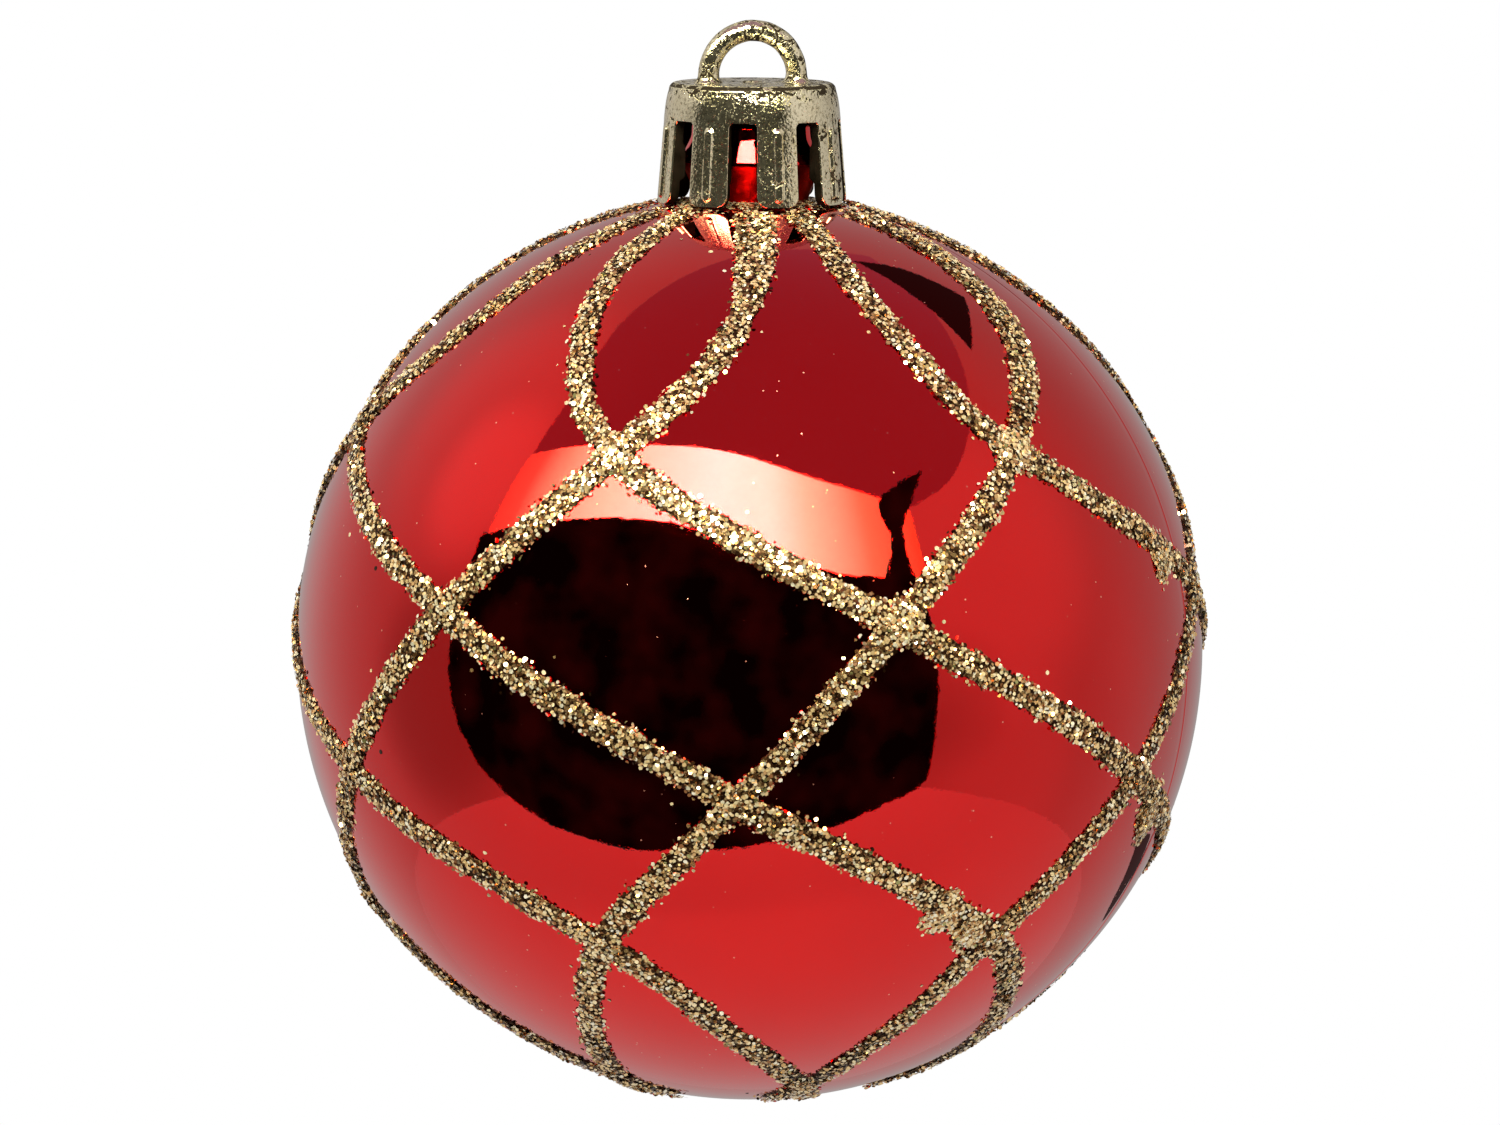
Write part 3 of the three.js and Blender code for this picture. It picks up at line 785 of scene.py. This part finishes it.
def dome(share):
    """Cross-section of a bead: share is the sideways distance over the half width."""
    return LINE_HEIGHT * np.sqrt(np.clip(1 - np.abs(share) ** 2.4, 0, 1))


LINES_A = [Line("a", i, KNOTS_A) for i in range(LINES_EACH_WAY)]
LINES_B = [Line("b", i, KNOTS_B) for i in range(LINES_EACH_WAY)]


def rise_over_a(d):
    """How high the first set of lines stands at each direction, so that the second set runs over it."""
    spots = np.concatenate([line.d[::3] for line in LINES_A])
    halves = np.concatenate([line.half[::3] for line in LINES_A])
    rise = np.zeros(len(d))
    for start in range(0, len(d), 2000):
        part = d[start:start + 2000]
        cosine = part @ spots.T
        nearest = cosine.argmax(1)
        away = np.arccos(np.clip(cosine[np.arange(len(part)), nearest], -1, 1)) * BALL_RADIUS
        rise[start:start + 2000] = dome(np.clip(away / (halves[nearest] * 1.25), 0, 1)) * 0.7
    return rise


def bed(line):
    """The bead of glue and packed glitter under the loose flakes."""
    run = np.linspace(0.15, line.run[-1] - 0.15, BED_STEPS)
    d, across, half, shift = line.at(run)
    ends = np.minimum(run, line.run[-1] - run)
    taper = np.sqrt(np.clip(ends / 0.8, 0.02, 1))
    points = []
    lift = rise_over_a(d) if line.kind == "b" else np.zeros(BED_STEPS)
    for c in BED_CROSS:
        ragged = np.array([noise.noise(tuple(p * 60)) for p in d + across * 0.01 * c]) * 0.1
        u = (c * (half * 0.9 + ragged) * taper) + shift
        height = dome(c) * 0.8 * taper - (0.03 if abs(c) == 1 else 0.0)
        height = height + lift * (1 - abs(c) ** 4 * 0.5)
        points.append((BALL_RADIUS + height)[:, None] * d + across * u[:, None])
    points = np.stack(points, 1).reshape(-1, 3) + np.array([0, 0, CENTRE_Z])
    n = len(BED_CROSS)
    faces = grid_faces(BED_STEPS, n, closed=False)
    faces.append(tuple(range(n)))
    faces.append(tuple((BED_STEPS - 1) * n + k for k in reversed(range(n))))
    piece = mesh_piece(f"bed_{line.name}", points, faces, [BED])
    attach(piece, "ball")
    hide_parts(f"glitter_line_{line.name}")


def flake_mesh(name, centres, normals, tilt, deep=0):
    """Six-sided flakes at the centres, tipped at random from their normals. The first few lie deep and take
    the darker mix of sorts, as painted shade.
    """
    count = len(centres)
    helper = np.cross(normals, random.normal(size=(count, 3)))
    helper /= np.linalg.norm(helper, axis=1)[:, None]
    angle = np.radians(np.clip(np.abs(random.normal(0, tilt, count)), 0, tilt * 2.6))[:, None]
    facing = normals * np.cos(angle) + helper * np.sin(angle)
    side = np.cross(facing, random.normal(size=(count, 3)))
    side /= np.linalg.norm(side, axis=1)[:, None]
    other = np.cross(facing, side)
    size = FLAKE_RADIUS * random.uniform(*FLAKE_SIZES, count)
    corners = []
    for k in range(6):
        a = math.radians(60 * k)
        corners.append(centres + (side * math.cos(a) + other * math.sin(a)) * size[:, None])
    points = np.stack(corners, 1).reshape(-1, 3)
    faces = [tuple(range(6 * i, 6 * i + 6)) for i in range(count)]
    on_top = random.choice(len(FLAKE_SORTS), count, p=[sort[-2] / 100 for sort in FLAKE_SORTS])
    # Painted shade: the deep flakes draw from the darker mix.
    deep_shaded_sorts = random.choice(len(FLAKE_SORTS), count, p=[sort[-1] / 100 for sort in FLAKE_SORTS])
    index = np.where(np.arange(count) < deep, deep_shaded_sorts, on_top)
    piece = mesh_piece(name, points + np.array([0, 0, CENTRE_Z]), faces, FLAKES, index, smooth=False)
    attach(piece, "ball")


# How far to the sides of a line flakes are tried, which takes in its widest start
LAYER_REACH = 1.8


def layer(line, height_low, height_high, kept):
    """One layer of flakes side by side along a line: their places and the directions they face."""
    along = np.arange(0, line.run[-1], FLAKE_PITCH * 0.87)
    sideways = np.arange(-LAYER_REACH, LAYER_REACH, FLAKE_PITCH) + random.uniform(0, FLAKE_PITCH)
    run, u = np.meshgrid(along, sideways, indexing="ij")
    u = u + (np.arange(len(along)) % 2)[:, None] * FLAKE_PITCH / 2
    run, u = run.ravel(), u.ravel()
    run = run + random.normal(0, FLAKE_JITTER, len(run))
    u = u + random.normal(0, FLAKE_JITTER, len(u))
    run = np.clip(run, 0, line.run[-1])
    d, across, half, shift = line.at(run)
    share = u / half
    keep = (np.abs(u) < half + random.normal(0, 0.15, len(u))) & (random.random(len(u)) < kept)
    d, across, share, shift, u = d[keep], across[keep], share[keep], shift[keep], u[keep]
    height = dome(np.clip(share, -1, 1)) + random.uniform(height_low, height_high, len(u))
    slope = np.sign(share) * np.clip(np.abs(share) - 0.55, 0, 0.45) * 0.8
    centre = d * BALL_RADIUS + across * (u + shift)[:, None]
    unit = centre / np.linalg.norm(centre, axis=1)[:, None]
    if line.kind == "b":
        height = height + rise_over_a(unit)
    normal = unit + across * slope[:, None]
    normal /= np.linalg.norm(normal, axis=1)[:, None]
    return unit * (BALL_RADIUS + height)[:, None], normal


def loose_flakes(line):
    """Two layers of flakes on a line, the lower one sunk into the bed and coloured darker as painted shade.
    """
    low, low_facing = layer(line, -0.02, 0.02, 0.65)
    top, top_facing = layer(line, 0.05, 0.12, 0.72)
    flake_mesh(f"flakes_{line.name}", np.concatenate([low, top]), np.concatenate([low_facing, top_facing]),
               LINE_FLAKE_TILT, len(low))


def extra_glitter():
    """Blobs, stray flakes over the ball, and the flakes heaped round the foot of the neck."""
    centres, normals = [], []
    for lat, lon, half, height, count in BLOBS:
        n = count
        middle = direction(np.array([lat]), np.array([lon]))[0]
        east = np.cross([0, 0, 1.0], middle)
        east /= np.linalg.norm(east)
        north = np.cross(middle, east)
        a, r = random.uniform(0, 2 * math.pi, n), np.sqrt(random.uniform(0, 1, n))
        r = r * (1 + 0.25 * np.sin(a * 3 + lat) + 0.15 * random.normal(size=n))
        flat = (np.cos(a) * r)[:, None] * east + (np.sin(a) * r)[:, None] * north
        unit = middle * BALL_RADIUS + flat * half
        unit /= np.linalg.norm(unit, axis=1)[:, None]
        top = height * np.sqrt(np.clip(1 - r ** 2, 0.02, 1))
        centres.append(unit * (BALL_RADIUS + top * random.uniform(0.05, 1.0, n))[:, None])
        normals.append(unit)
    lines = LINES_A + LINES_B
    for line in lines:
        n = STRAY_FLAKES // len(lines)
        run = random.uniform(0, line.run[-1], n)
        d, across, half, shift = line.at(run)
        away = np.sign(random.normal(size=n)) * (half + np.abs(random.normal(0, 0.6, n)))
        unit = d * BALL_RADIUS + across * away[:, None]
        unit /= np.linalg.norm(unit, axis=1)[:, None]
        centres.append(unit * (BALL_RADIUS + 0.015))
        normals.append(unit)
    lon = random.uniform(0, 360, FOOT_FLAKES)
    lat = FOOT_LATITUDE + np.clip(random.normal(0, FOOT_SPREAD, FOOT_FLAKES), *FOOT_ENDS)
    unit = direction(lat, lon)
    pitch = 360 / FINGER_COUNT
    between = np.abs((lon - FIRST_FINGER_TURN + pitch / 2) % pitch - pitch / 2) > 13.5
    ring = np.exp(-((lat - FOOT_LATITUDE + 0.3) / 1.6) ** 2) * (0.6 + 0.5 * np.sin(lon * 0.21))
    heap = np.abs(np.where(between, 0.22, 0.05) * ring)
    height = 0.015 + heap * random.uniform(0.2, 1, FOOT_FLAKES)
    centres.append(unit * (BALL_RADIUS + height)[:, None])
    normals.append(unit)
    flake_mesh("stray_flakes", np.concatenate(centres), np.concatenate(normals), STRAY_FLAKE_TILT)


ball()
crown()
for number, turn in enumerate(finger_turns(), 1):
    finger(number, turn)
for each in LINES_A + LINES_B:
    bed(each)
    loose_flakes(each)
extra_glitter()


# ---------------------------------------------------------------- camera

def camera_axes():
    """The directions ahead of the camera, level to its right and upwards from both."""
    heading = Vector((-CAMERA_PLACE.x, -CAMERA_PLACE.y, 0)).normalized()
    pitch = math.radians(CAMERA_PITCH)
    facing = heading * math.cos(pitch) + Vector((0, 0, math.sin(pitch)))
    level = facing.cross(Vector((0, 0, 1))).normalized()
    return facing, level, level.cross(facing)


AHEAD, RIGHT, UPWARD = camera_axes()
TOWARDS = -AHEAD


def add_camera():
    data = bpy.data.cameras.new("camera")
    data.lens = CAMERA_LENS
    data.sensor_width = CAMERA_SENSOR
    data.clip_start = 0.05
    data.clip_end = 50
    camera = show("camera", data)
    roll = math.radians(CAMERA_ROLL)
    across = RIGHT * math.cos(roll) + UPWARD * math.sin(roll)
    above = UPWARD * math.cos(roll) - RIGHT * math.sin(roll)
    rows = [(*axes, place) for *axes, place in zip(across, above, TOWARDS, CAMERA_PLACE)]
    camera.matrix_world = Matrix((*rows, (0, 0, 0, 1)))
    bpy.context.scene.camera = camera


# ---------------------------------------------------------------- room and light

def room_direction(azimuth, elevation):
    """A direction from the ball, in degrees to the right of and above the line to the camera."""
    a, e = math.radians(azimuth), math.radians(elevation)
    flat = TOWARDS * math.cos(a) + RIGHT * math.sin(a)
    return (flat * math.cos(e) + UPWARD * math.sin(e)).normalized()


def glow(name, strength, colour=(1, 1, 1), stops=None, patchy=None):
    """Plain emission. With stops, the colour changes with the angle to the right of the camera, and a
    patchy card glows between a low and a high strength."""
    n = Nodes(name)
    n.tree.nodes.remove(n.shader)
    emission = n.add("ShaderNodeEmission")
    emission.inputs["Color"].default_value = (*colour, 1)
    emission.inputs["Strength"].default_value = strength
    n.link(emission.outputs[0], n.tree.nodes["Material Output"].inputs["Surface"])
    if stops:
        parts = n.add("ShaderNodeSeparateXYZ")
        n.link(n.add("ShaderNodeUVMap").outputs[0], parts.inputs[0])
        n.link(n.ramp(parts.outputs[0], stops), emission.inputs["Color"])
    if patchy:
        n.link(n.span(n.noise(2.6), 0.4, 0.68, *patchy, smooth=False), emission.inputs["Strength"])
    return n.material


def smooth_curve(marks, step):
    """Directions about step degrees apart along a smooth curve through the marks, without its last."""
    rays = [room_direction(*mark) for mark in marks]
    rays = [rays[0] * 2 - rays[1], *rays, rays[-1] * 2 - rays[-2]]
    spots = []
    for a, b, c, d in zip(rays, rays[1:], rays[2:], rays[3:]):
        pieces = max(1, math.ceil(math.degrees(b.angle(c)) / step))
        for t in (k / pieces for k in range(pieces)):
            bend = (a * 2 - b * 5 + c * 4 - d) * t * t + (b * 3 - a - c * 3 + d) * t ** 3
            spots.append((b * 2 + (c - a) * t + bend).normalized())
    return spots


def card_rim(outline, ragged):
    """Directions round a card's edge, torn by up to the ragged number of degrees."""
    rim = []
    for marks in outline:
        for spot in smooth_curve(marks, RAGGED_CARD_STEP if ragged else CARD_STEP):
            tear = noise.noise_vector(spot * 9) + noise.noise_vector(spot * 30) * 0.8
            rim.append((spot + tear * math.radians(ragged)).normalized())
    return rim


def card(name, outline, distance, material, ragged=0.0):
    """A card bent to a sphere round the ball, so that its edges lie where its outline says. It is cut
    into triangles as a flat sheet, where a point's place is its angle from the card's middle."""
    rim = card_rim(outline, ragged)
    middle = sum(rim, Vector()).normalized()
    east = middle.cross(Vector((0.1, 0.2, 1))).normalized()
    north = east.cross(middle)
    flat = []
    for ray in rim:
        away = middle.angle(ray)
        turn = math.atan2(ray.dot(north), ray.dot(east))
        flat.append(Vector((away * math.cos(turn), away * math.sin(turn), 0)))
    mesh = bpy.data.meshes.new(name)
    mesh.from_pydata(flat, [], [tuple(range(len(flat)))])
    work = bmesh.new()
    work.from_mesh(mesh)
    bmesh.ops.triangulate(work, faces=work.faces[:])
    for _ in range(5):
        long_edges = [e for e in work.edges if e.calc_length() > CARD_LONGEST_EDGE]
        if long_edges:
            bmesh.ops.subdivide_edges(work, edges=long_edges, cuts=1)
    bmesh.ops.triangulate(work, faces=work.faces[:])
    uv = work.loops.layers.uv.new("UVMap")
    for v in work.verts:
        away, turn = v.co.length, math.atan2(v.co.y, v.co.x)
        outward = east * math.cos(turn) + north * math.sin(turn)
        v.co = BALL_CENTRE + (middle * math.cos(away) + outward * math.sin(away)) * distance
    for face in work.faces:
        for loop in face.loops:
            ray = (loop.vert.co - BALL_CENTRE).normalized()
            azimuth = math.degrees(math.atan2(ray.dot(RIGHT), ray.dot(TOWARDS)))
            loop[uv].uv = ((azimuth + 90) / 180, 0.5)
    work.to_mesh(mesh)
    work.free()
    mesh.materials.append(material)
    obj = show(name, mesh)
    obj.visible_camera = False


def add_cards():
    card("ceiling", CEILING_CARD, 2.0, glow("ceiling_glow", 0.32, (1.0, 0.62, 0.95)))
    card("dark_wedge", WEDGE_CARD, 1.9, glow("wedge_glow", 0.02))
    card("dark_sliver", SLIVER_CARD, 1.9, glow("sliver_glow", 0.04))
    card("strip_light", STRIP_CARD, 1.8, glow("strip_glow", 30.0, stops=STRIP_COLOURS))
    card("black_card", BLACK_CARD, 1.7, glow("black_glow", 1.0, patchy=(0.002, 0.019)), 0.6)


def add_key_light():
    """A narrow soft light on the ball alone: it neither reaches the floor nor shows in the mirror."""
    data = bpy.data.lights.new("key_light", "SPOT")
    data.shadow_soft_size = KEY_SIZE
    data.spot_size = math.radians(KEY_SPREAD)
    data.spot_blend = 0.4
    data.energy = KEY_ENERGY
    data.color = (1.0, 0.97, 0.9)
    light = show("key_light", data)
    light.location = BALL_CENTRE + room_direction(*KEY_DIRECTION) * KEY_DISTANCE
    light.rotation_euler = (BALL_CENTRE - light.location).to_track_quat("-Z", "Y").to_euler()
    light.visible_glossy = False
    light.visible_camera = False


def add_floor():
    centre = TOWARDS * FLOOR_SHIFT
    turns = [math.radians(a) for a in range(0, 360, 5)]
    rim = [(centre.x + FLOOR_RADIUS * math.sin(t), centre.y - FLOOR_RADIUS * math.cos(t), 0)
           for t in turns]
    n = Nodes("floor_paint_and_glow")
    n.set(Base_Color=(0.14, 0.14, 0.14, 1), Roughness=0.9, Emission_Color=(1, 1, 1, 1))
    forward = n.add("ShaderNodeVectorMath", operation="DOT_PRODUCT")
    forward.inputs[1].default_value = TOWARDS
    n.link(n.place, forward.inputs[0])
    # Painted light: the floor's own glow, stronger towards the camera.
    painted_glow = n.span(forward.outputs["Value"], *FLOOR_GLOW_FROM_TO, smooth=False)
    n.link(painted_glow, n.shader.inputs["Emission Strength"])
    mesh = bpy.data.meshes.new("floor")
    mesh.from_pydata(rim, [], [tuple(range(len(rim)))])
    mesh.materials.append(n.material)
    floor = show("floor", mesh)
    floor.location = (0, 0, -FLOOR_BELOW)


def add_world():
    """Plain white to the camera, and a dimmer, softly patched room to everything else."""
    world = bpy.data.worlds.new("studio")
    bpy.context.scene.world = world
    world.use_nodes = True
    tree = world.node_tree
    tree.nodes.clear()
    seen = tree.nodes.new("ShaderNodeBackground")
    seen.inputs["Color"].default_value = (1, 1, 1, 1)
    lit = tree.nodes.new("ShaderNodeBackground")
    lit.inputs["Color"].default_value = (1, 0.96, 0.94, 1)
    aim = tree.nodes.new("ShaderNodeTexCoord")
    level = None
    for azimuth, elevation, width, amount in ROOM_PATCHES:
        dot = tree.nodes.new("ShaderNodeVectorMath")
        dot.operation = "DOT_PRODUCT"
        dot.inputs[1].default_value = room_direction(azimuth, elevation)
        tree.links.new(aim.outputs["Generated"], dot.inputs[0])
        patch = tree.nodes.new("ShaderNodeMapRange")
        patch.interpolation_type = "SMOOTHERSTEP"
        patch.inputs["From Min"].default_value = math.cos(math.radians(width))
        patch.inputs["To Max"].default_value = amount
        tree.links.new(dot.outputs["Value"], patch.inputs["Value"])
        total = tree.nodes.new("ShaderNodeMath")
        total.inputs[1].default_value = ROOM_LEVEL
        tree.links.new(patch.outputs["Result"], total.inputs[0])
        if level is not None:
            tree.links.new(level, total.inputs[1])
        level = total.outputs[0]
    tree.links.new(level, lit.inputs["Strength"])
    chosen = tree.nodes.new("ShaderNodeMixShader")
    path = tree.nodes.new("ShaderNodeLightPath")
    out = tree.nodes.new("ShaderNodeOutputWorld")
    tree.links.new(path.outputs["Is Camera Ray"], chosen.inputs[0])
    tree.links.new(lit.outputs[0], chosen.inputs[1])
    tree.links.new(seen.outputs[0], chosen.inputs[2])
    tree.links.new(chosen.outputs[0], out.inputs["Surface"])


add_camera()
add_cards()
add_key_light()
add_floor()
add_world()
bpy.context.scene.view_settings.view_transform = "Standard"
